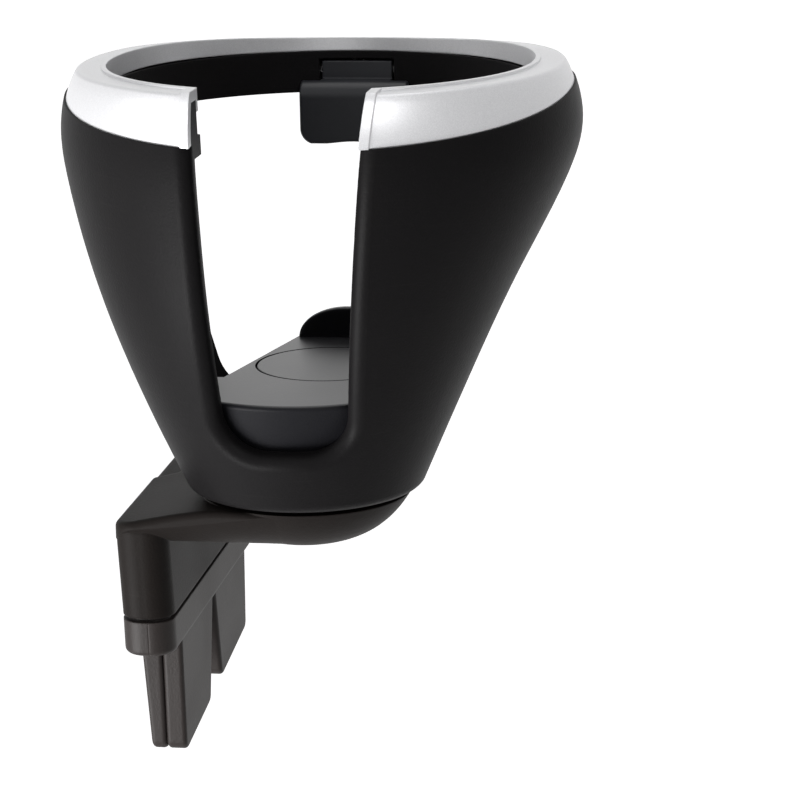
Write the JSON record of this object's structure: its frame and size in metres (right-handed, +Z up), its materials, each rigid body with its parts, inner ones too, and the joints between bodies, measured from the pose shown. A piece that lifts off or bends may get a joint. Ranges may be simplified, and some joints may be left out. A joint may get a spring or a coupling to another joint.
{
  "type": "car cup holder",
  "caption": "Plug-in car cup holder: tapering open-backed cup body, silver rim trim, front handle slot, sprung press flap, and an arm with a forked insert for a seat gap.",
  "frame": {"origin": "middle of the round floor pad's top face, where a cup stands", "axes": "+Z up, -Y towards the handle slot, -X towards the arm and its insert"},
  "size_m": [0.1112, 0.1226, 0.154],
  "materials": {
    "body_plastic": "fine matte grain",
    "trim_silver": "satin silver paint",
    "floor_plastic": "fine matte grain",
    "flap_plastic": "smooth semi-gloss",
    "arm_plastic": "matte",
    "steel": "plain"
  },
  "bodies": {
    "holder": {"cup_body": "body_plastic", "rim_trim": "trim_silver", "floor_tray": "floor_plastic", "floor_pad": "floor_plastic", "tray_screws": "steel", "base_screws": "steel", "flap_pin": "steel", "flap_spring": "steel", "base_arm": "arm_plastic", "insert_outer": "arm_plastic", "insert_inner": "arm_plastic", "insert_screws": "steel"},
    "flap": {"press_flap": "flap_plastic"}
  },
  "joints": [
    {"name": "flap_hinge", "type": "hinge", "parent": "holder", "child": "flap", "pos_m": [0, 0.0484, 0.058], "axis": [1, 0, 0], "range_deg": [0, 25], "stiffness_Nm_per_rad": 0.02, "springref_deg": -28.65, "deforming": ["flap_spring"]}
  ]
}
